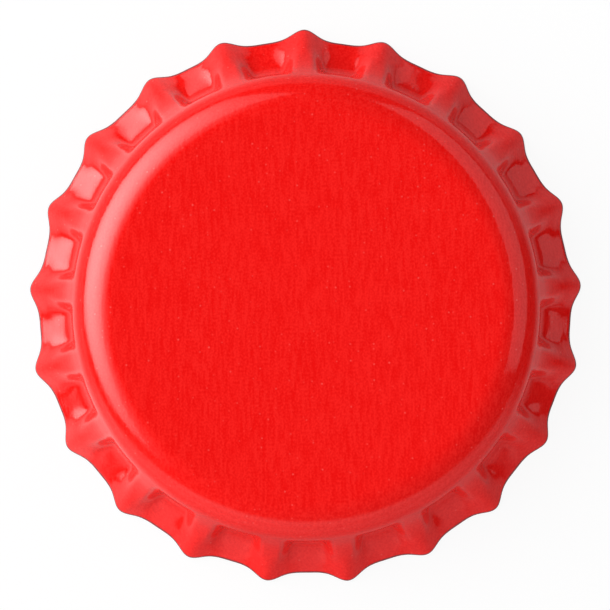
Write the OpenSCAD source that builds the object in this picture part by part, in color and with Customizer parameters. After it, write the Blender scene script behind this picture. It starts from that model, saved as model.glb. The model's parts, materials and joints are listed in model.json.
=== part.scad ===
// Crown bottle cap, new and not yet crimped.
// A shallow pan is drawn from thin lacquered steel sheet. Its wall runs down
// into a sloping brim, and flutes are pressed from the shoulder to the hem.
// A moulded liner inside the pan seals against the lip of the bottle.
// Millimetres. The cap stands on its hem, with +Z up along its axis and the
// crest of one flute towards +Y.

/* [Pan] */
// Height of the cap over all
cap_h = 6; // [5.4:0.1:7.5]
// Radius of the mouth, inside the upright wall
mouth_r = 13.375; // [11:0.125:17]
// Thickness of the steel sheet with its lacquer
sheet_t = 0.23; // [0.18:0.01:0.3]
// Outside radius of the bend between the top panel and the wall
shoulder_r = 2.4; // [2:0.05:2.9]

/* [Brim] */
// How far the hem between two flutes stands out from the wall
flare = 1.815; // [1.4:0.005:2.2]
// Slope of the brim between two flutes, from upright
brim_slope = 51; // [46:1:55]
// Height of the fillet between the wall and the brim
fillet_h = 0.8; // [0.5:0.05:1]
// Slope at which the fillet meets the wall, from upright
fillet_end = 15; // [10:1:20]

/* [Flutes] */
// Number of flutes around the skirt
flutes = 21; // [15:1:27]
// How far the tip of a flute stands out from the hem beside it
flute_d = 0.75; // [0.4:0.01:0.9]
// How far the tip of a flute is lifted above the hem beside it
tip_lift = 0.1; // [0:0.05:0.4]
// Slope of a crest at its tip, from upright
tip_slope = 40.5; // [37:0.5:44]
// How far round the shoulder's bend a crest leaves it, from upright
neck_turn = 15; // [12:1:17]
// Slope of a crest where it leaves the shoulder, from upright
neck_slope = 21; // [19:1:26]
// Height over which a crest bends from the one slope to the other
crest_h = 1.8; // [1.4:0.1:2.2]
// Half-width of a flute on the wall, where its height has fallen to a third
neck_w = 0.78; // [0.6:0.01:1]
// Half-width of a flute on the brim, where its height has fallen to a third
brim_w = 1.08; // [0.8:0.01:1.3]
// Half-width of a flute at the hem, where its height has fallen to a third
hem_w = 0.93; // [0.7:0.01:1.2]
// How much flatter and steeper-sided a flute is on the wall than at the hem
squareness = 2; // [0:0.25:3]

/* [Liner] */
// Gap between the wall and the liner's ring, which leaves room for the lip
liner_gap = 1.075; // [0.8:0.025:1.5]
// Clearance between the liner and the inside of the shoulder
liner_clear = 0.02; // [0.01:0.01:0.1]
// Thickness of the thin web in the middle of the liner
web_t = 0.3; // [0.2:0.05:0.5]
// Width of the liner's sealing ring
ring_w = 2.9; // [2.4:0.1:4]
// Thickness of the flat land between the two lips of the ring
land_t = 0.75; // [0.6:0.05:1.1]
// Radius of the rounded lips on both sides of the land
lip_r = 0.4; // [0.25:0.05:0.5]

/* [Hidden] */
$fn = 96;

wall_r = mouth_r + sheet_t;          // outside of the upright wall
bend_r = wall_r - shoulder_r;        // centre line of the shoulder's bend
bend_z = cap_h - shoulder_r;         // where the bend ends and the wall begins
hem_r = wall_r + flare;
tip_r = hem_r + flute_d;
pitch = 360 / flutes;
first_crest = 90;

// The sheet is cut square to its faces, so its outer edge stands clear of the
// floor by this much
hem_z = sheet_t * sin(brim_slope);

// The brim curves up into the wall, which it meets at foot_z
brim_curl = (tan(brim_slope) - tan(fillet_end)) / (2 * fillet_h);
foot_z = hem_z + (flare + brim_curl * pow(fillet_h, 2)) / tan(brim_slope);
fillet_z = foot_z - fillet_h;

// The crest is straight at both ends and bends between them
neck_z = bend_z + shoulder_r * sin(neck_turn);
neck_r = bend_r + shoulder_r * cos(neck_turn);
tip_z = hem_z + tip_lift;
crest_curl = (tan(tip_slope) - tan(neck_slope)) / (2 * crest_h);
crest_spare = neck_r - tip_r + (neck_z - tip_z) * tan(tip_slope);
crest_z = neck_z - (crest_spare / (crest_curl * crest_h) + crest_h) / 2;

// A flute has its brim width below wide_z and its wall width above narrow_z
wide_z = fillet_z - 0.3;
narrow_z = foot_z + 0.2;

// How finely the fluted skin is drawn
skin_top = neck_z + 0.25;            // its first ring, hidden inside the pan
fillet_top = foot_z + 0.15;          // a ring just above the fillet
wall_rows = 4;
fillet_rows = 4;
skin_rows = 10;
half_columns = 126;                  // half of the columns round the cap
steps = round(half_columns / flutes);  // columns on each side of a crest
probe = 0.01;                        // step used to find the skin's slope
tuck = 0.06;                         // how deep its first ring hides
edge_run = 0.1;                      // how far the cut edge runs past the sheet
below = 1;                           // how far a cutting form runs past the hem

// Radius of a slope that is straight for a while above its foot and then
// bends towards upright over a height h, starting at bend_from
function slope_r(z, start, slope, curl, bend_from, h) =
    let (above = max(0, z - bend_from))
    let (bent = min(above, h))
    start[0] - (z - start[1]) * tan(slope) + curl * bent * (2 * above - bent);

function pan_r(z) = bend_r + sqrt(pow(shoulder_r, 2) - pow(max(0, z - bend_z), 2));
function brim_r(z) = slope_r(z, [hem_r, hem_z], brim_slope, brim_curl, fillet_z, fillet_h);
function crest_r(z) = z > neck_z
    ? pan_r(z) - tuck
    : slope_r(z, [tip_r, tip_z], tip_slope, crest_curl, crest_z, crest_h);

// Share of a flute's height at an angle from its crest: a bell curve, which
// has a flatter top and steeper sides on the wall
function ease(x) = let (t = max(0, min(1, x))) t * t * (3 - 2 * t);
function up_wall(z) = ease((z - wide_z) / (narrow_z - wide_z));
function flute_w(z) =
    let (on_brim = hem_w + (brim_w - hem_w) * ease((z - hem_z) / (wide_z - hem_z)))
    on_brim + (neck_w - on_brim) * up_wall(z);
function bell(a, z) =
    exp(-pow(abs(a) * PI / 180 * brim_r(z) / flute_w(z), 2 + squareness * up_wall(z)));

// A point of the fluted skin, and the way that it faces there
function skin_r(a, z) = brim_r(z) + bell(a, z) * (crest_r(z) - brim_r(z));
function skin(a, z) = [skin_r(a, z) * cos(a), skin_r(a, z) * sin(a), z];
function facing(a, z) =
    let (along = skin(a + probe, z) - skin(a - probe, z))
    let (up = skin(a, z + probe) - skin(a, z - probe))
    cross(along, up) / norm(cross(along, up));

// One column of points down the skin, at an angle from a crest, set in by
// inset and run on past the hem by under, and then in across the cut edge
function row_z(row, foot) =
    lookup(row, [
        [0, skin_top],
        [wall_rows, fillet_top],
        [wall_rows + fillet_rows, fillet_z],
        [skin_rows, foot]
    ]);
function column(a, inset, under) =
    let (foot = hem_z + tip_lift * bell(a, hem_z) - under)
    [
        for (row = [0 : skin_rows])
            let (z = row_z(row, foot))
            skin(a, z) - inset * facing(a, z),
        skin(a, foot) - (inset + sheet_t + edge_run) * facing(a, foot)
    ];

// Columns stand closer together on the sides of a flute than between flutes
function spread(t) = pitch / 2 * (1.2 * t - 1.8 * pow(t, 2) + 1.6 * pow(t, 3));
function turned(p, a) = [p.x * cos(a) - p.y * sin(a), p.x * sin(a) + p.y * cos(a), p.z];

// The solid inside the fluted skin, closed above and below by fans
module fluted_core(inset, under) {
    rings = skin_rows + 2;
    columns = flutes * 2 * steps;
    skin_points = [
        for (flute = [0 : flutes - 1], step = [1 - steps : steps])
            let (a = sign(step) * spread(abs(step) / steps))
            for (p = column(a, inset, under))
                turned(p, first_crest + flute * pitch)
    ];
    top = columns * rings;
    bottom = top + 1;
    points = concat(skin_points, [[0, 0, skin_top - inset], [0, 0, -under - sheet_t]]);
    sides = [
        for (c = [0 : columns - 1], ring = [0 : rings - 2])
            let (here = c * rings + ring, next = (c + 1) % columns * rings + ring)
            each [[here, next, here + 1], [next, next + 1, here + 1]]
    ];
    lids = [
        for (c = [0 : columns - 1])
            let (here = c * rings, next = (c + 1) % columns * rings)
            each [[here, top, next], [here + rings - 1, next + rings - 1, bottom]]
    ];
    polyhedron(points, concat(sides, lids));
}

// Half section of the pan's core: the flat panel, the bend and the wall
module pan_section(inset) {
    translate([0, fillet_z])
        square([bend_r, cap_h - inset - fillet_z]);
    translate([0, fillet_z])
        square([wall_r - inset, bend_z - fillet_z]);
    intersection() {
        translate([bend_r, bend_z])
            circle(r = shoulder_r - inset);
        translate([0, fillet_z])
            square([wall_r, cap_h - fillet_z]);
    }
}

// The whole cap as a solid block, set in by inset
module cap_form(inset, under) {
    rotate_extrude()
        pan_section(inset);
    fluted_core(inset, under);
}

module crown_shell() {
    color("#f01b19")
        difference() {
            cap_form(0, 0);
            cap_form(sheet_t, below);
        }
}

// Half section of the liner: web, land and the two lips
module liner_section() {
    seat_z = cap_h - sheet_t;
    ring_r = mouth_r - liner_gap;
    translate([0, seat_z - web_t])
        square([ring_r, web_t]);
    translate([ring_r - ring_w, seat_z - land_t])
        square([ring_w, land_t]);
    for (r = [ring_r - lip_r, ring_r - ring_w + lip_r])
        translate([r, seat_z - land_t])
            circle(r = lip_r);
}

// Half section of the room inside the pan that the liner may fill
module pan_room() {
    square([bend_r, cap_h - sheet_t]);
    square([mouth_r - liner_clear, bend_z]);
    translate([bend_r, bend_z])
        circle(r = shoulder_r - sheet_t - liner_clear);
}

module sealing_liner() {
    color("#d9dde0")
        rotate_extrude()
            intersection() {
                liner_section();
                pan_room();
            }
}

crown_shell();
sealing_liner();
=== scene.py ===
"""The look of a new, uncrimped crown cap: a fluted shell drawn from red
lacquered tinplate, with a moulded sealing liner inside, seen from above."""
import json
import math

import bpy
from mathutils import Matrix, Vector

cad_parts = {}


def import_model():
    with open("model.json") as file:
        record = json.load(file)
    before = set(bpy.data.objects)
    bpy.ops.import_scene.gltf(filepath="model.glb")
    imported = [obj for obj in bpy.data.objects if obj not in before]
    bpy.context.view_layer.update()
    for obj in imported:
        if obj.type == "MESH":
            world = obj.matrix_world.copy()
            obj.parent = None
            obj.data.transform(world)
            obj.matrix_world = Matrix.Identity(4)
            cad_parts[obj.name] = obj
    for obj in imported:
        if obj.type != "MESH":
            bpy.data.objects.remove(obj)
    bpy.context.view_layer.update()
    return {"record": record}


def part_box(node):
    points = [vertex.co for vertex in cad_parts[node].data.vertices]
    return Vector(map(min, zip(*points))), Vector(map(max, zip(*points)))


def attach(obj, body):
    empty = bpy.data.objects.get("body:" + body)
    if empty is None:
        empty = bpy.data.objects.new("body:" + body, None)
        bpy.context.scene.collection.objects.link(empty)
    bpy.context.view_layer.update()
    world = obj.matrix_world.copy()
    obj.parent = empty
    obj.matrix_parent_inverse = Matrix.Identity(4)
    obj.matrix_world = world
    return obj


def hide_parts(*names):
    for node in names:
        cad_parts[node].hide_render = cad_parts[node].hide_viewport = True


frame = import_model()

MM = 0.001
SEED = 21

# ---------------------------------------------------------------- sizes ----
# The overall sizes come from the frame, in metres.
_, shell_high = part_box("crown_shell")
_, liner_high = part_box("sealing_liner")
mounts = {mount["name"]: mount for mount in frame["record"]["mounts"]}

FLUTES = 21
PITCH = 2 * math.pi / FLUTES
FIRST_CREST = math.pi / 2

CAP_H = shell_high.z
SHEET = 0.23 * MM
WALL_R = mounts["bottle_mouth"]["dims"]["r_mm"] * MM + SHEET
TIP_R = shell_high.y
BEND = 2.4 * MM

# The shell. Slopes are tangents of the angle from upright.
SHELL_SIZES = {
    "cap height": CAP_H,
    "wall radius": WALL_R,
    "bend radius": BEND,
    "sheet": SHEET,
    "tip radius": TIP_R - 0.03 * MM,
    "hem radius": WALL_R + 1.83 * MM,
    "hem height": 0.205 * MM,
    "tip lift": 0.1 * MM,
    "brim slope": math.tan(math.radians(51)),
    "wall lean": math.tan(math.radians(15)),
    "fillet height": 0.8 * MM,
    "neck rise": BEND * math.sin(math.radians(15)),
    "neck slope": math.tan(math.radians(21)),
    "tip slope": math.tan(math.radians(40.5)),
    "crest bend": 1.8 * MM,
    "brim width": 1.08 * MM,
    "hem width": 0.93 * MM,
    "wide above": 0.88 * MM,
    "flank foot": 1.17 * MM,
    "flank width": 0.72 * MM,
    "flank rounding": 0.25,
    "curved beyond": WALL_R + 1.595 * MM,
    "straight within": WALL_R + 0.595 * MM,
    "blend": 0.05 * MM,
    "tip play": 0.06 * MM,
    "hem play": 0.05 * MM,
    "turn play": math.radians(0.4),
}
COLUMNS = 32          # round each flute
ROWS_DISC = 8
ROWS_BEND = 18
ROWS_SKIRT = 32
ROWS_EDGE = 6
HEM_ROW = ROWS_DISC + ROWS_BEND + ROWS_SKIRT
ROWS = 2 * HEM_ROW + ROWS_EDGE + 1
BEND_SWEEP = math.radians(62)   # the bend is drawn this far by angle, the rest by height
EVEN = 0.45           # even share of the columns' spacing; the rest crowds them at the crest
FLUTE_END = 0.6       # share of the half pitch past which a flute is cut off
WALL_INSET = 0.02 * MM    # how far the skirt's own wall stays inside the pan's
TAKEOVER = 20.0       # the skirt takes over in one part in so many of its height
SEAM = 0.002 * MM     # points closer than this are joined
NUDGE = 0.0001        # keeps a rounding error from putting a point a column back
ROW_MARGIN = 0.25     # of a row, between one material and the next


# ------------------------------------------------------------ node maths ----
class Field:
    """A number that a node tree works out at every point."""

    def __init__(self, tree, socket):
        self.tree = tree
        self.socket = socket

    def math(self, operation, *others):
        node = self.tree.nodes.new("ShaderNodeMath")
        node.operation = operation
        for socket, value in zip(node.inputs, (self, *others)):
            connect(self.tree, value, socket)
        return Field(self.tree, node.outputs[0])

    def __add__(self, other):
        return self.math("ADD", other)

    def __sub__(self, other):
        return self.math("SUBTRACT", other)

    def __mul__(self, other):
        return self.math("MULTIPLY", other)

    def __truediv__(self, other):
        return self.math("DIVIDE", other)

    def __pow__(self, other):
        return self.math("POWER", other)

    def __neg__(self):
        return self * -1.0

    __radd__ = __add__
    __rmul__ = __mul__

    def __rsub__(self, other):
        return (-self) + other


def connect(tree, value, socket):
    """Feeds a field, a socket or a plain number into a socket."""
    if isinstance(value, Field):
        tree.links.new(value.socket, socket)
    elif isinstance(value, bpy.types.NodeSocket):
        tree.links.new(value, socket)
    else:
        socket.default_value = value


def limited(field):
    """The field, kept between 0 and 1."""
    return field.math("MINIMUM", 1.0).math("MAXIMUM", 0.0)


def eased(field):
    """The field, kept between 0 and 1 and smoothed at both ends."""
    share = limited(field)
    return share * share * (3.0 - share * 2.0)


def ramped(field, start, length):
    """0 up to a start, 1 from a length past it on, and smooth between."""
    return eased((field - start) / length)


def in_use(sockets):
    """A node's sockets, less those that its settings hide."""
    return [socket for socket in sockets if socket.enabled]


def in_use_as(sockets, name):
    return [socket for socket in in_use(sockets) if socket.name == name][0]


def vector(tree, x, y, z):
    node = tree.nodes.new("ShaderNodeCombineXYZ")
    for socket, value in zip(node.inputs, (x, y, z)):
        connect(tree, value, socket)
    return node.outputs[0]


def vector_math(tree, operation, *values):
    node = tree.nodes.new("ShaderNodeVectorMath")
    node.operation = operation
    for socket, value in zip(in_use(node.inputs), values):
        connect(tree, value, socket)
    return node.outputs[0]


def scaled(tree, value, factor):
    node = tree.nodes.new("ShaderNodeVectorMath")
    node.operation = "SCALE"
    connect(tree, value, node.inputs[0])
    connect(tree, factor, node.inputs["Scale"])
    return node.outputs[0]


def coordinates(tree, socket):
    """The three numbers of a vector."""
    split = tree.nodes.new("ShaderNodeSeparateXYZ")
    tree.links.new(socket, split.inputs[0])
    return [Field(tree, part) for part in split.outputs]


def passed(tree, kind, geometry):
    """A new node that takes in the geometry."""
    node = tree.nodes.new(kind)
    tree.links.new(geometry, node.inputs[0])
    return node


def added(name, data):
    """A new object in the scene."""
    made = bpy.data.objects.new(name, data)
    bpy.context.scene.collection.objects.link(made)
    return made


# ------------------------------------------------------------- the shell ----
def add_inputs(tree, names):
    for name in names:
        tree.interface.new_socket(name=name, in_out="INPUT", socket_type="NodeSocketFloat")


def named_fields(tree, node, names):
    return {name: Field(tree, node.outputs[name]) for name in names}


def random_share(tree, number, seed):
    """A number from -1 to 1 that belongs to a flute or to a valley."""
    node = tree.nodes.new("FunctionNodeRandomValue")
    node.data_type = "FLOAT"
    values = {"Min": -1.0, "Max": 1.0, "Seed": seed}
    for name, value in values.items():
        in_use_as(node.inputs, name).default_value = value
    connect(tree, number, in_use_as(node.inputs, "ID"))
    return Field(tree, in_use(node.outputs)[0])


def sheet_group():
    """The outside of the sheet: a point for an angle from a crest and a run,
    which goes 0 to 1 over the disc, to 2 round the bend and to 3 at the hem."""
    tree = bpy.data.node_groups.new("sheet point", "GeometryNodeTree")
    places = ["angle", "run", "flute"]
    add_inputs(tree, places + list(SHELL_SIZES))
    tree.interface.new_socket(name="point", in_out="OUTPUT", socket_type="NodeSocketVector")
    source = tree.nodes.new("NodeGroupInput")
    given = named_fields(tree, source, places + list(SHELL_SIZES))

    angle, run, flute = given["angle"], given["run"], given["flute"]
    off_crest = (angle / (PITCH / 2)).math("ABSOLUTE")
    valley = flute + angle.math("GREATER_THAN", 0.0)
    valley = valley.math("WRAP", FLUTES, 0.0)
    tip_play = random_share(tree, flute, SEED)
    hem_play = random_share(tree, valley, SEED + 1)
    turn_play = random_share(tree, flute, SEED + 2)

    bend_centre = given["wall radius"] - given["bend radius"]
    bend_z = given["cap height"] - given["bend radius"]
    tip_r = given["tip radius"] + (tip_play - 1.0) * given["tip play"]
    hem_r = given["hem radius"] + hem_play * given["hem play"]

    # Height of the point, by part of the run
    sweep = limited(run - 1.0) * BEND_SWEEP
    skirt_share = limited(run - 2.0)
    last_z = bend_z + given["bend radius"] * math.cos(BEND_SWEEP)

    # A profile of the skirt: a straight run up from its foot, then a curve of
    # a given height, then a steeper straight run
    def profile(z, foot_r, foot_z, foot_slope, curl, curve_z, curve_h):
        above = (z - curve_z).math("MAXIMUM", 0.0)
        bent = above.math("MINIMUM", curve_h)
        return foot_r - (z - foot_z) * foot_slope + curl * bent * (above * 2.0 - bent)

    # Between two flutes: the brim, the fillet above it and the wall
    flare = hem_r - given["wall radius"]
    fillet_h = given["fillet height"]
    fillet_curl = (given["brim slope"] - given["wall lean"]) / (fillet_h * 2.0)
    wall_foot = given["hem height"] + (flare + fillet_curl * fillet_h * fillet_h) / given["brim slope"]
    fillet_z = wall_foot - fillet_h

    def brim(z):
        return profile(z, hem_r, given["hem height"], given["brim slope"], fillet_curl, fillet_z, fillet_h)

    def from_crest(z):
        return (angle * brim(z).math("MAXIMUM", given["wall radius"])).math("ABSOLUTE")

    # A flute's height is a bell curve over the brim, cut off between flutes
    def bell(z):
        wide = ramped(z, given["hem height"], given["wide above"] - given["hem height"])
        reach = from_crest(z) / (given["hem width"] + (given["brim width"] - given["hem width"]) * wide)
        cut_off = ramped(off_crest, FLUTE_END, 1.0 - FLUTE_END)
        return (-(reach * reach)).math("EXPONENT") * (1.0 - cut_off)

    foot = given["hem height"] + given["tip lift"] * bell(given["hem height"])
    z = bend_z + given["bend radius"] * sweep.math("COSINE")
    z = z + (foot - last_z) * skirt_share

    # The crest runs from the shoulder to the tip
    neck_z = bend_z + given["neck rise"]
    neck_r = bend_centre + (given["bend radius"] ** 2.0 - given["neck rise"] ** 2.0).math("SQRT")
    tip_z = given["hem height"] + given["tip lift"]
    crest_h = given["crest bend"]
    crest_curl = (given["tip slope"] - given["neck slope"]) / (crest_h * 2.0)
    spare = (neck_r - tip_r + (neck_z - tip_z) * given["tip slope"]) / (crest_curl * crest_h)
    crest_z = neck_z - (spare + crest_h) * 0.5
    crest = profile(z, tip_r, tip_z, given["tip slope"], crest_curl, crest_z, crest_h)

    # The pan: disc, bend and wall
    rise = limited((z - bend_z) / given["bend radius"]) * given["bend radius"]
    bend = (given["bend radius"] ** 2.0 - rise * rise).math("MAXIMUM", 0.0).math("SQRT")
    pan = bend_centre + bend
    base = brim(z).math("SMOOTH_MAX", pan - WALL_INSET, given["blend"])

    # Near the wall the flute has a flat top and straight flanks instead
    near_wall = given["curved beyond"] - base - bell(z) * (crest - base)
    near_wall = eased(near_wall / (given["curved beyond"] - given["straight within"]))
    ramp = (given["flank foot"] - from_crest(z)) / given["flank width"]
    ramp = ramp.math("SMOOTH_MIN", 1.0, given["flank rounding"])
    ramp = ramp.math("SMOOTH_MAX", 0.0, given["flank rounding"])
    skin = base + (bell(z) + (ramp - bell(z)) * near_wall) * (crest - base)
    outer = pan.math("SMOOTH_MAX", skin, given["blend"])
    in_skirt = eased(skirt_share * TAKEOVER)
    radius = pan + (outer - pan) * in_skirt
    disc = limited(run)
    on_disc = run.math("LESS_THAN", 1.0)
    radius = radius + (bend_centre * disc - radius) * on_disc

    out_of_line = turn_play * given["turn play"] * eased(1.0 - off_crest)
    turn = angle + flute * PITCH + FIRST_CREST + out_of_line
    x = radius * turn.math("COSINE")
    y = radius * turn.math("SINE")
    end = tree.nodes.new("NodeGroupOutput")
    tree.links.new(vector(tree, x, y, z), end.inputs["point"])
    return tree


def numbered_grid(tree, columns, rows):
    """A grid whose last column will meet its first, and each point's column
    and row."""
    grid = tree.nodes.new("GeometryNodeMeshGrid")
    grid.inputs["Vertices X"].default_value = columns + 1
    grid.inputs["Vertices Y"].default_value = rows
    index = Field(tree, tree.nodes.new("GeometryNodeInputIndex").outputs[0])
    column = (index / rows + NUDGE).math("FLOOR")
    return grid, column, index - column * rows


def finish_grid(tree, grid, place, row, materials, starts):
    """Moves a grid's points into place, closes its seam and poles and gives
    it its materials, each from a row on."""
    move = passed(tree, "GeometryNodeSetPosition", grid.outputs["Mesh"])
    tree.links.new(place, move.inputs["Position"])
    store = passed(tree, "GeometryNodeStoreNamedAttribute", move.outputs[0])
    store.data_type = "FLOAT"
    store.domain = "POINT"
    store.inputs["Name"].default_value = "row"
    connect(tree, row, in_use_as(store.inputs, "Value"))
    merge = passed(tree, "GeometryNodeMergeByDistance", store.outputs[0])
    merge.inputs["Distance"].default_value = SEAM
    flip = passed(tree, "GeometryNodeFlipFaces", merge.outputs[0])
    smooth = passed(tree, "GeometryNodeSetShadeSmooth", flip.outputs[0])
    geometry = passed(tree, "GeometryNodeRealizeInstances", smooth.outputs[0]).outputs[0]
    read = tree.nodes.new("GeometryNodeInputNamedAttribute")
    read.data_type = "FLOAT"
    read.inputs["Name"].default_value = "row"
    stored = Field(tree, in_use_as(read.outputs, "Attribute"))
    for material, start in zip(materials, starts):
        node = passed(tree, "GeometryNodeSetMaterial", geometry)
        node.inputs["Material"].default_value = material
        connect(tree, stored.math("GREATER_THAN", start), node.inputs["Selection"])
        geometry = node.outputs[0]
    end = tree.nodes.new("NodeGroupOutput")
    tree.links.new(geometry, end.inputs["Geometry"])


def shell_tree(materials):
    """The whole shell: down the outside of the sheet, round its cut edge and
    back up the inside."""
    tree = bpy.data.node_groups.new("shell form", "GeometryNodeTree")
    tree.interface.new_socket(name="Geometry", in_out="OUTPUT", socket_type="NodeSocketGeometry")
    add_inputs(tree, SHELL_SIZES)
    source = tree.nodes.new("NodeGroupInput")
    given = named_fields(tree, source, SHELL_SIZES)

    grid, column, row = numbered_grid(tree, FLUTES * COLUMNS, ROWS)
    flute = ((column + 0.5) / COLUMNS).math("FLOOR").math("WRAP", FLUTES, 0.0)
    side = ((column + 0.5) / COLUMNS).math("FRACT") * 2.0 - 1.0
    spread = side * EVEN + side * side * side * (1.0 - EVEN)
    angle = spread * (PITCH / 2)

    near = row.math("MINIMUM", float(HEM_ROW))
    far = (2.0 * HEM_ROW + ROWS_EDGE - row).math("MINIMUM", float(HEM_ROW))
    level = near.math("MINIMUM", far)
    run = (
        limited(level / ROWS_DISC)
        + limited((level - ROWS_DISC) / ROWS_BEND)
        + limited((level - ROWS_DISC - ROWS_BEND) / ROWS_SKIRT)
    )
    turn = limited((row - HEM_ROW) / ROWS_EDGE) * math.pi

    group = sheet_group()

    def point(angle, run):
        node = tree.nodes.new("GeometryNodeGroup")
        node.node_tree = group
        connect(tree, angle, node.inputs["angle"])
        connect(tree, run, node.inputs["run"])
        connect(tree, flute, node.inputs["flute"])
        for name in SHELL_SIZES:
            connect(tree, given[name], node.inputs[name])
        return node.outputs["point"]

    # The way that the sheet faces, from points close by that stay off the axis
    step = 0.002
    least_run, least_round = 0.001, 0.01
    back = (run - step).math("MAXIMUM", least_run)
    off_axis = run.math("MAXIMUM", least_round)
    here = point(angle, run)
    before = point(angle, back)
    after = point(angle, back + 2 * step)
    left = point(angle - step / 2, off_axis)
    right = point(angle + step / 2, off_axis)
    along = vector_math(tree, "SUBTRACT", right, left)
    down = vector_math(tree, "SUBTRACT", after, before)
    down = vector_math(tree, "NORMALIZE", down)
    out = vector_math(tree, "NORMALIZE", vector_math(tree, "CROSS_PRODUCT", down, along))

    # The sheet's inside, and the rounding of its cut edge
    depth = (turn.math("COSINE") - 1.0) * given["sheet"] * 0.5
    bulge = turn.math("SINE") * given["sheet"] * 0.5
    place = vector_math(tree, "ADD", here, scaled(tree, out, depth))
    place = vector_math(tree, "ADD", place, scaled(tree, down, bulge))

    starts = (-1.0, HEM_ROW + ROW_MARGIN, HEM_ROW + ROWS_EDGE - ROW_MARGIN)
    finish_grid(tree, grid, place, row, materials, starts)
    return tree


def grown(name, tree, sizes):
    """Runs a tree and keeps its result as a plain mesh object."""
    holder = added(name, bpy.data.meshes.new(name))
    modifier = holder.modifiers.new(name, "NODES")
    modifier.node_group = tree
    for item in tree.interface.items_tree:
        if item.item_type == "SOCKET" and item.in_out == "INPUT" and item.name in sizes:
            modifier[item.identifier] = float(sizes[item.name])
    holder.update_tag()
    graph = bpy.context.evaluated_depsgraph_get()
    mesh = bpy.data.meshes.new_from_object(holder.evaluated_get(graph))
    holder.modifiers.clear()
    holder.data = mesh
    mesh.name = name
    return holder


# ------------------------------------------------------------- materials ----
# How fine each pattern is, in cells to a metre along X, Y and Z
ROLLED_LINES = (6600, 1000, 6600)
ROLLED_GRAIN = (9500, 7500, 9500)
MOTTLING = (160, 90, 160)
DRAG_MARKS = (2600, 2600, 900)
FLOW_MARKS = (420, 420, 420)
COMPOUND_GRAIN = (5200, 5200, 5200)
SPECK_CELLS = 2300.0
PUNCH_RINGS = 0.22 * MM     # from one fine ring on the liner to the next


def output(tree, name, value):
    """Adds a named output to a node group and feeds it."""
    tree.interface.new_socket(name=name, in_out="OUTPUT", socket_type="NodeSocketFloat")
    ends = [node for node in tree.nodes if node.bl_idname == "NodeGroupOutput"]
    end = ends[0] if ends else tree.nodes.new("NodeGroupOutput")
    connect(tree, value, end.inputs[name])


def own_place(tree):
    return tree.nodes.new("ShaderNodeTexCoord").outputs["Object"]


def noise(tree, vector_socket, detail, rough=0.5, warp=0.0):
    node = tree.nodes.new("ShaderNodeTexNoise")
    node.inputs["Scale"].default_value = 1.0
    node.inputs["Detail"].default_value = detail
    node.inputs["Roughness"].default_value = rough
    node.inputs["Distortion"].default_value = warp
    tree.links.new(vector_socket, node.inputs["Vector"])
    return Field(tree, node.outputs[0])


def mapped(tree, scale):
    """The piece's own coordinates, with so many cells to a metre."""
    node = tree.nodes.new("ShaderNodeMapping")
    node.inputs["Scale"].default_value = scale
    tree.links.new(own_place(tree), node.inputs["Vector"])
    return node.outputs[0]


def rolled_sheet():
    """The fine lines that rolling leaves along a sheet, and the soft unevenness
    of the lacquer over them. Lines run along Y."""
    tree = bpy.data.node_groups.new("rolled sheet", "ShaderNodeTree")
    lines = noise(tree, mapped(tree, ROLLED_LINES), 0.5, 0.5, 0.3) - 0.5
    fine = noise(tree, mapped(tree, ROLLED_GRAIN), 0.0) - 0.5
    mottle = noise(tree, mapped(tree, MOTTLING), 2.0)
    output(tree, "Lines", lines * 1.3 + fine * 1.4)
    output(tree, "Height", lines * 0.6 + fine * 0.3)
    output(tree, "Mottle", mottle)
    return tree


def dust_and_nicks():
    """Small specks scattered over the surface, some stronger than others."""
    tree = bpy.data.node_groups.new("specks", "ShaderNodeTree")
    cells = tree.nodes.new("ShaderNodeTexVoronoi")
    cells.inputs["Scale"].default_value = SPECK_CELLS
    tree.links.new(own_place(tree), cells.inputs["Vector"])
    near = 1.0 - limited(Field(tree, cells.outputs["Distance"]) * 5.5)
    strong = coordinates(tree, cells.outputs["Color"])[0] ** 2.0
    output(tree, "Specks", near * strong)
    return tree


ROLLED = rolled_sheet()
SPECKS = dust_and_nicks()


def principled(name, color, rough, metal=0.0, gloss=0.5):
    material = bpy.data.materials.new(name)
    material.use_nodes = True
    shader = material.node_tree.nodes["Principled BSDF"]
    shader.inputs["Base Color"].default_value = (*color, 1)
    shader.inputs["Roughness"].default_value = rough
    shader.inputs["Metallic"].default_value = metal
    shader.inputs["Specular IOR Level"].default_value = gloss
    return material, material.node_tree, shader


def grouped(tree, group):
    node = tree.nodes.new("ShaderNodeGroup")
    node.node_tree = group
    return node


def bumped(tree, shader, height, depth):
    bump = tree.nodes.new("ShaderNodeBump")
    bump.inputs["Strength"].default_value = 1.0
    bump.inputs["Distance"].default_value = depth
    connect(tree, height, bump.inputs["Height"])
    tree.links.new(bump.outputs[0], shader.inputs["Normal"])


def mixed(tree, factor, first, second):
    node = tree.nodes.new("ShaderNodeMix")
    node.data_type = "RGBA"
    sockets = in_use(node.inputs)
    connect(tree, factor, sockets[0])
    for socket, value in zip(sockets[1:], (first, second)):
        if isinstance(value, tuple):
            socket.default_value = (*value, 1)
        else:
            connect(tree, value, socket)
    return in_use(node.outputs)[0]


RED = (0.875, 0.0098, 0.008)
# Painted shade: the dark red that the lacquer turns to along the hem's sheared edge.
RIM_SHADE_RED = (0.2, 0.012, 0.016)
SPECK_ON_RED = (1.0, 0.42, 0.38)
RIM_SHADE_ROWS = 0.3        # how far up the skirt from the hem the red is darkened as painted shade and made rougher


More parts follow.
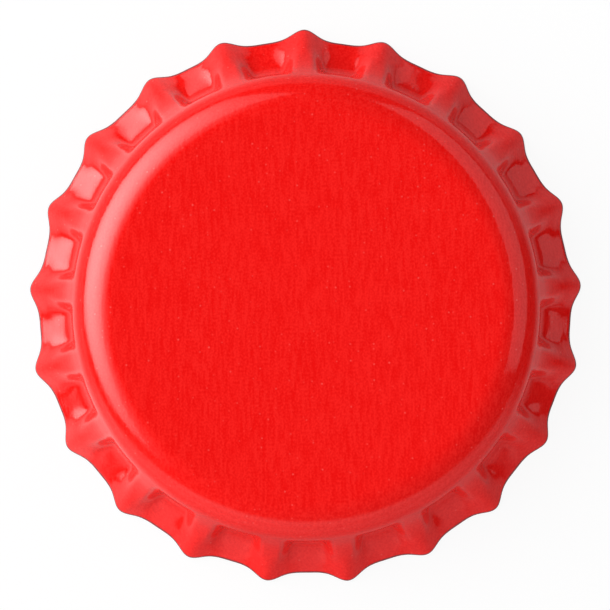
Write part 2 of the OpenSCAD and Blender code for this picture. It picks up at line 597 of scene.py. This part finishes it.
def red_lacquer():
    """Gloss lacquer over rolled sheet, rougher along the sheared edge at the hem, where its red is
    darkened as painted shade.
    """
    material, tree, shader = principled("red lacquer", RED, 0.11, gloss=0.8)
    sheet, specks = grouped(tree, ROLLED), grouped(tree, SPECKS)
    lines, mottle = Field(tree, sheet.outputs["Lines"]), Field(tree, sheet.outputs["Mottle"])
    dark = (RED[0] * 0.955, RED[1] * 0.5, RED[2] * 0.5)
    light = (RED[0] * 1.045, RED[1] * 1.5, RED[2] * 1.5)
    shade = limited(lines * 1.3 + (mottle - 0.5) * 0.15 + 0.5)
    color = mixed(tree, shade, dark, light)
    color = mixed(tree, Field(tree, specks.outputs["Specks"]) * 0.22, color, SPECK_ON_RED)
    rows = tree.nodes.new("ShaderNodeAttribute")
    rows.attribute_name = "row"
    # Painted shade along the sheared edge: the red darkens towards the hem, and the lacquer there is also
    # rougher.
    shaded_dull_rim = limited((Field(tree, rows.outputs["Fac"]) - HEM_ROW + RIM_SHADE_ROWS) / (0.5 * RIM_SHADE_ROWS))
    color = mixed(tree, shaded_dull_rim * 0.85, color, RIM_SHADE_RED)
    tree.links.new(color, shader.inputs["Base Color"])
    connect(tree, mottle * 0.05 + 0.085 + shaded_dull_rim * 0.4, shader.inputs["Roughness"])
    bumped(tree, shader, sheet.outputs["Height"], 0.005 * MM)
    return material


def tin_inside():
    """Bare tinplate under a clear lacquer."""
    material, tree, shader = principled("clear lacquered tin", (0.66, 0.63, 0.55), 0.28, 1.0)
    sheet = grouped(tree, ROLLED)
    mottle = Field(tree, sheet.outputs["Mottle"])
    dark, light = (0.6, 0.57, 0.5), (0.74, 0.71, 0.62)
    color = mixed(tree, limited((mottle - 0.5) * 2.0 + 0.5), dark, light)
    tree.links.new(color, shader.inputs["Base Color"])
    connect(tree, Field(tree, sheet.outputs["Lines"]) * 0.12 + 0.28, shader.inputs["Roughness"])
    bumped(tree, shader, sheet.outputs["Height"], 0.007 * MM)
    return material


def cut_steel():
    """The sheared edge of the sheet, mostly covered by red drawn over it, and darkened as painted shade.
    """
    material, tree, shader = principled("cut steel", (0.4, 0.1, 0.1), 0.5, 0.7)
    # Painted shade: both tones are kept dark, so that the cut edge shows as a dark line round the hem.
    dark, light = (0.34, 0.045, 0.05), (0.55, 0.14, 0.14)
    drag = noise(tree, mapped(tree, DRAG_MARKS), 2.0)
    color = mixed(tree, limited((drag - 0.45) * 4.0), dark, light)
    tree.links.new(color, shader.inputs["Base Color"])
    connect(tree, drag * 0.3 + 0.4, shader.inputs["Roughness"])
    bumped(tree, shader, drag, 0.02 * MM)
    return material


red, steel, tin = red_lacquer(), cut_steel(), tin_inside()

shell = grown("drawn_shell", shell_tree((red, steel, tin)), SHELL_SIZES)
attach(shell, "root")
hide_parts("crown_shell")


# ------------------------------------------------------------- the liner ----
# The liner, with the small marks of its moulding
LINER_SIZES = {
    "seat height": CAP_H - SHEET,
    "ring radius": liner_high.x,
    "ring width": 2.9 * MM,
    "land": 0.75 * MM,
    "web": 0.3 * MM,
    "lip radius": 0.4 * MM,
    "bend centre": WALL_R - BEND,
    "bend height": CAP_H - BEND,
    "bend room": BEND - SHEET - 0.02 * MM,
    "root": 0.16 * MM,
    "gate radius": 1.3 * MM,
    "ripple": 0.012 * MM,
    "step radius": 6.4 * MM,
    "step": 0.05 * MM,
    "step width": 0.3 * MM,
    "lip blend": 0.05 * MM,
}
RIPPLES = 2 * math.pi / (0.8 * MM)      # radians of the web's ripples to a metre
LINER_COLUMNS = 192
ROWS_WEB = 44
ROWS_RING = 52
ROWS_WALL = 4
ROWS_TOP = 12


def liner_tree(material):
    """The liner, from the middle of its open face out over the ring and back
    across the face that lies against the panel."""
    tree = bpy.data.node_groups.new("liner form", "GeometryNodeTree")
    tree.interface.new_socket(name="Geometry", in_out="OUTPUT", socket_type="NodeSocketGeometry")
    add_inputs(tree, LINER_SIZES)
    source = tree.nodes.new("NodeGroupInput")
    given = named_fields(tree, source, LINER_SIZES)

    rows = ROWS_WEB + ROWS_RING + ROWS_WALL + ROWS_TOP + 1
    grid, column, row = numbered_grid(tree, LINER_COLUMNS, rows)
    angle = column * (2 * math.pi / LINER_COLUMNS)

    # Radius: across the web, over the ring, up its side and back to the middle
    inner_r = given["ring radius"] - given["ring width"]
    over = limited((row - ROWS_WEB) / ROWS_RING)
    up = limited((row - ROWS_WEB - ROWS_RING) / ROWS_WALL)
    back = limited((row - ROWS_WEB - ROWS_RING - ROWS_WALL) / ROWS_TOP)
    half = given["ring width"] * 0.5
    on_web = (inner_r - given["root"]) * limited(row / ROWS_WEB)
    swing = 1.0 - (over * math.pi).math("COSINE")
    on_ring = (given["root"] + half) * swing * 0.5 + half * swing * 0.5
    radius = (on_web + on_ring) * (1.0 - back * back)

    # Thickness: the web, its step and gate mark, the land and its two lips
    ripples = (radius * RIPPLES).math("COSINE") * given["ripple"]
    step = ramped(radius, given["step radius"], given["step width"]) * given["step"]
    from_gate = radius / given["gate radius"]
    boss = (-(from_gate ** 6.0)).math("EXPONENT") * 1.6
    dimple = (-((from_gate * 2.2) ** 4.0)).math("EXPONENT") * 3.4
    gate = boss - dimple
    web = given["web"] - given["step"] * 0.5 + step + ripples + gate * given["step"]
    land = web + (given["land"] - web) * eased((radius - inner_r + given["root"]) / given["root"])
    under = land
    for lip_r in (inner_r + given["lip radius"], given["ring radius"] - given["lip radius"]):
        reach = radius - lip_r
        lip = (given["lip radius"] ** 2.0 - reach * reach).math("MAXIMUM", 0.0).math("SQRT")
        lip = given["land"] + lip - reach.math("ABSOLUTE").math("GREATER_THAN", given["lip radius"]) * MM
        under = under.math("SMOOTH_MAX", lip, given["lip blend"])
    low_z = given["seat height"] - under
    past = (radius - given["bend centre"]).math("MAXIMUM", 0.0)
    high_z = given["bend height"] + (given["bend room"] ** 2.0 - past * past).math("SQRT")
    z = low_z + (high_z - low_z) * up
    place = vector(tree, radius * angle.math("COSINE"), radius * angle.math("SINE"), z)
    finish_grid(tree, grid, place, row, (material,), (-1.0,))
    return tree


def sealing_compound():
    """Milky moulded compound, with the fine rings of the punch that shaped it."""
    material, tree, shader = principled("sealing compound", (0.8, 0.81, 0.8), 0.42)
    specks = grouped(tree, SPECKS)
    x, y, _ = coordinates(tree, own_place(tree))
    out = (x * x + y * y).math("SQRT")
    flow = noise(tree, mapped(tree, FLOW_MARKS), 3.0, 0.6, 1.2)
    grain = noise(tree, mapped(tree, COMPOUND_GRAIN), 1.0)
    rings = (out * (2 * math.pi / PUNCH_RINGS) + flow * 5.0).math("SINE") * 0.5 + 0.5
    dark, light, speck = (0.72, 0.735, 0.735), (0.86, 0.865, 0.85), (0.42, 0.4, 0.37)
    color = mixed(tree, limited((flow - 0.5) * 2.4 + 0.5), dark, light)
    color = mixed(tree, Field(tree, specks.outputs["Specks"]) * 0.6, color, speck)
    tree.links.new(color, shader.inputs["Base Color"])
    connect(tree, flow * 0.25 + grain * 0.12 + 0.2, shader.inputs["Roughness"])
    bumped(tree, shader, rings * 0.5 + grain * 0.6 + flow, 0.006 * MM)
    shader.inputs["Subsurface Weight"].default_value = 0.15
    shader.inputs["Subsurface Radius"].default_value = (1.0, 0.95, 0.85)
    shader.inputs["Subsurface Scale"].default_value = 0.4 * MM
    return material


liner = grown("moulded_liner", liner_tree(sealing_compound()), LINER_SIZES)
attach(liner, "root")
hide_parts("sealing_liner")


# --------------------------------------------------------- floor and light ----
FLOOR = 2.0           # half of its side
FLOOR_WHITE = (0.95, 0.95, 0.95, 1)

# Where the mirrored floor brightens or fades, by distance from the axis
NEAR_END, NEAR_FADE = 15 * MM, 9.5 * MM
FAR_END, FAR_FADE = 45 * MM, 50 * MM
RISE_START, RISE_LENGTH = 9.5 * MM, 17.5 * MM

# How bright it is there
NEAR_GLOW = 0.32      # close to the cap
NEAR_KEY_GLOW = 0.14  # on top of it, towards the key lamp
FAR_KEY_GLOW = 0.29   # farther out, towards the key lamp
BACK_GLOW = 0.18      # farther out, behind
WALL_GLOW = 0.46      # towards the pale wall


def floor_glow(tree):
    """The light that the lacquer sees in the floor, by place."""
    x, y, _ = coordinates(tree, own_place(tree))
    away = (x * x + y * y).math("SQRT")
    near = 1.0 - ramped(away, NEAR_END, NEAR_FADE)
    far = 1.0 - ramped(away, FAR_END, FAR_FADE)
    right, ahead = x / away.math("MAXIMUM", MM), y / away.math("MAXIMUM", MM)
    key_side = ramped(ahead * 0.26 - right * 0.966, 0.34, 0.5)
    wall_side = ramped(-ahead, 0.25, 0.3) * (0.75 - right * 0.4).math("MAXIMUM", 0.66)
    rising = 1.0 - ((RISE_START - away) / RISE_LENGTH).math("EXPONENT")
    back_side = ramped(ahead * 0.93 + right * 0.37, 0.5, 0.4)
    shaded = wall_side * limited(right * 2.4 + 1.62)
    glow = near * (key_side * NEAR_KEY_GLOW + NEAR_GLOW) * (1.0 - shaded)
    glow = glow + far * (key_side * FAR_KEY_GLOW + back_side * (1.0 - near) * BACK_GLOW)
    return glow + wall_side * rising * WALL_GLOW


def floor():
    """Plain white to the camera, glowing by place to the lacquer, and glossy
    white to every other ray."""
    mesh = bpy.data.meshes.new("floor")
    corners = [(x * FLOOR, y * FLOOR, 0) for x, y in ((-1, -1), (1, -1), (1, 1), (-1, 1))]
    mesh.from_pydata(corners, [], [(0, 1, 2, 3)])
    obj = added("floor", mesh)
    material = bpy.data.materials.new("white floor")
    material.use_nodes = True
    tree = material.node_tree
    shader = tree.nodes["Principled BSDF"]
    shader.inputs["Base Color"].default_value = FLOOR_WHITE
    shader.inputs["Roughness"].default_value = 0.12
    glow = tree.nodes.new("ShaderNodeEmission")
    mix = tree.nodes.new("ShaderNodeMixShader")
    path = tree.nodes.new("ShaderNodeLightPath")
    seen = Field(tree, path.outputs["Is Camera Ray"])
    seen = seen.math("MAXIMUM", path.outputs["Is Transmission Ray"])
    glossy = Field(tree, path.outputs["Is Glossy Ray"])
    connect(tree, seen + (1.0 - seen) * floor_glow(tree), glow.inputs["Strength"])
    connect(tree, (seen * 0.9).math("MAXIMUM", glossy), mix.inputs[0])
    tree.links.new(shader.outputs[0], mix.inputs[1])
    tree.links.new(glow.outputs[0], mix.inputs[2])
    tree.links.new(mix.outputs[0], tree.nodes["Material Output"].inputs["Surface"])
    mesh.materials.append(material)


floor()


FILL = 0.28
SIDE_FILL = 0.8       # on top of it, from the near side
SIDE_WAY = math.radians(-100)
WALL_LEVEL = 0.62
WALL_EDGE = 0.5       # how far round to the near side the wall begins
WALL_SHARPNESS = 4.0
WALL_DIM_BELOW, WALL_DIMMING = 0.3, 1.35


def world():
    """A pale wall stands on the near side; the rest of the room is dim."""
    made = bpy.data.worlds.new("studio")
    bpy.context.scene.world = made
    made.use_nodes = True
    tree = made.node_tree
    back = tree.nodes["Background"]
    path = tree.nodes.new("ShaderNodeLightPath")
    x, y, z = coordinates(tree, tree.nodes.new("ShaderNodeTexCoord").outputs["Generated"])
    wall = eased((-y - z * 0.78 - WALL_EDGE) * WALL_SHARPNESS + 0.5) * WALL_LEVEL
    wall = wall * ((z - WALL_DIM_BELOW).math("MINIMUM", 0.0) * WALL_DIMMING).math("EXPONENT")
    wall = wall * (0.62 - x * 0.5).math("MAXIMUM", 0.55)
    seen = Field(tree, path.outputs["Is Camera Ray"])
    glossy = Field(tree, path.outputs["Is Glossy Ray"])
    sideways = (x * math.cos(SIDE_WAY) + y * math.sin(SIDE_WAY)).math("MAXIMUM", 0.0)
    room = wall + (1.0 - glossy) * (sideways * SIDE_FILL + FILL)
    connect(tree, seen + (1.0 - seen) * room, back.inputs["Strength"])
    back.inputs["Color"].default_value = (1, 1, 1, 1)


world()


def softbox(name, azimuth, zenith, distance, width, height, radiance, roll):
    """A lamp that faces the cap, unseen by the camera. Angles are in degrees."""
    light = bpy.data.lights.new(name, "AREA")
    light.shape = "RECTANGLE"
    light.size, light.size_y = width, height
    light.energy = radiance * width * height * math.pi
    lamp = added(name, light)
    around, down = math.radians(azimuth), math.radians(zenith)
    way = Vector((math.sin(down) * math.cos(around), math.sin(down) * math.sin(around), math.cos(down)))
    turn = way.to_track_quat("Z", "Y").to_matrix().to_4x4()
    turn = turn @ Matrix.Rotation(math.radians(roll), 4, "Z")
    lamp.matrix_world = Matrix.Translation(way * distance) @ turn
    lamp.visible_camera = False
    return lamp


# The key lamp's centre is cut off below a line that rises past its middle
CUT_FROM, CUT_SLOPE, CUT_HEIGHT, CUT_SOFTNESS = 0.15, 0.65, -0.27, 0.12


def faded(light, across, along):
    """Makes a softbox brightest in the middle, fading out as a bell curve."""
    light.use_nodes = True
    tree = light.node_tree
    glow = [node for node in tree.nodes if node.bl_idname == "ShaderNodeEmission"][0]
    place = tree.nodes.new("ShaderNodeNewGeometry")
    x, y, _ = coordinates(tree, place.outputs["Parametric"])
    x = (x - 0.5) * light.size
    y = (y - 0.5) * light.size_y
    bell = (-(x * x / across ** 2 + y * y / along ** 2)).math("EXPONENT")
    cut = (x - CUT_FROM).math("MAXIMUM", 0.0) * CUT_SLOPE + CUT_HEIGHT
    inside = eased((y - cut) / CUT_SOFTNESS + 0.5)
    connect(tree, bell * inside, glow.inputs["Strength"])


LAMPS = 0.5           # their distance
CENTRE = LAMPS * 0.99     # just in front of the key lamp

softbox("key", 154.7, 55.8, LAMPS, width=1.193, height=0.473, radiance=0.5, roll=7.2)
key = softbox("key centre", 161.5, 64.5, CENTRE, width=1.5, height=1.1, radiance=4.15, roll=17.8)
faded(key.data, across=0.374, along=0.31)
softbox("side", 25.5, 66.6, LAMPS, width=0.80, height=0.415, radiance=0.45, roll=-18.9)


# ---------------------------------------------------------------- camera ----
VIEW_WIDTH = 35.54 * MM
SENSOR = 36
CAMERA_DISTANCE = 0.8
AIM = Vector((-0.04, 0.107, 0)) * MM
LEAN = math.radians(0.47)             # off the cap's axis
LEAN_WAY = math.atan2(0.25, -0.5)     # towards this side
ROLL = math.radians(0.52)


def camera_above():
    """A long lens that looks down on the cap, very slightly off its axis."""
    lens = bpy.data.cameras.new("camera")
    camera = added("camera", lens)
    bpy.context.scene.camera = camera
    lens.sensor_width = SENSOR
    lens.lens = SENSOR * CAMERA_DISTANCE / VIEW_WIDTH
    lens.clip_start, lens.clip_end = 0.01, 10
    aside = math.sin(LEAN)
    way = Vector((math.cos(LEAN_WAY) * aside, math.sin(LEAN_WAY) * aside, math.cos(LEAN)))
    place = AIM + way * CAMERA_DISTANCE
    view = (AIM - place).normalized()
    right = view.cross(Vector((math.sin(ROLL), math.cos(ROLL), 0))).normalized()
    up = right.cross(view)
    turn = Matrix((right, up, -view)).transposed().to_4x4()
    camera.matrix_world = Matrix.Translation(place) @ turn


camera_above()

bpy.context.scene.view_settings.view_transform = "Standard"
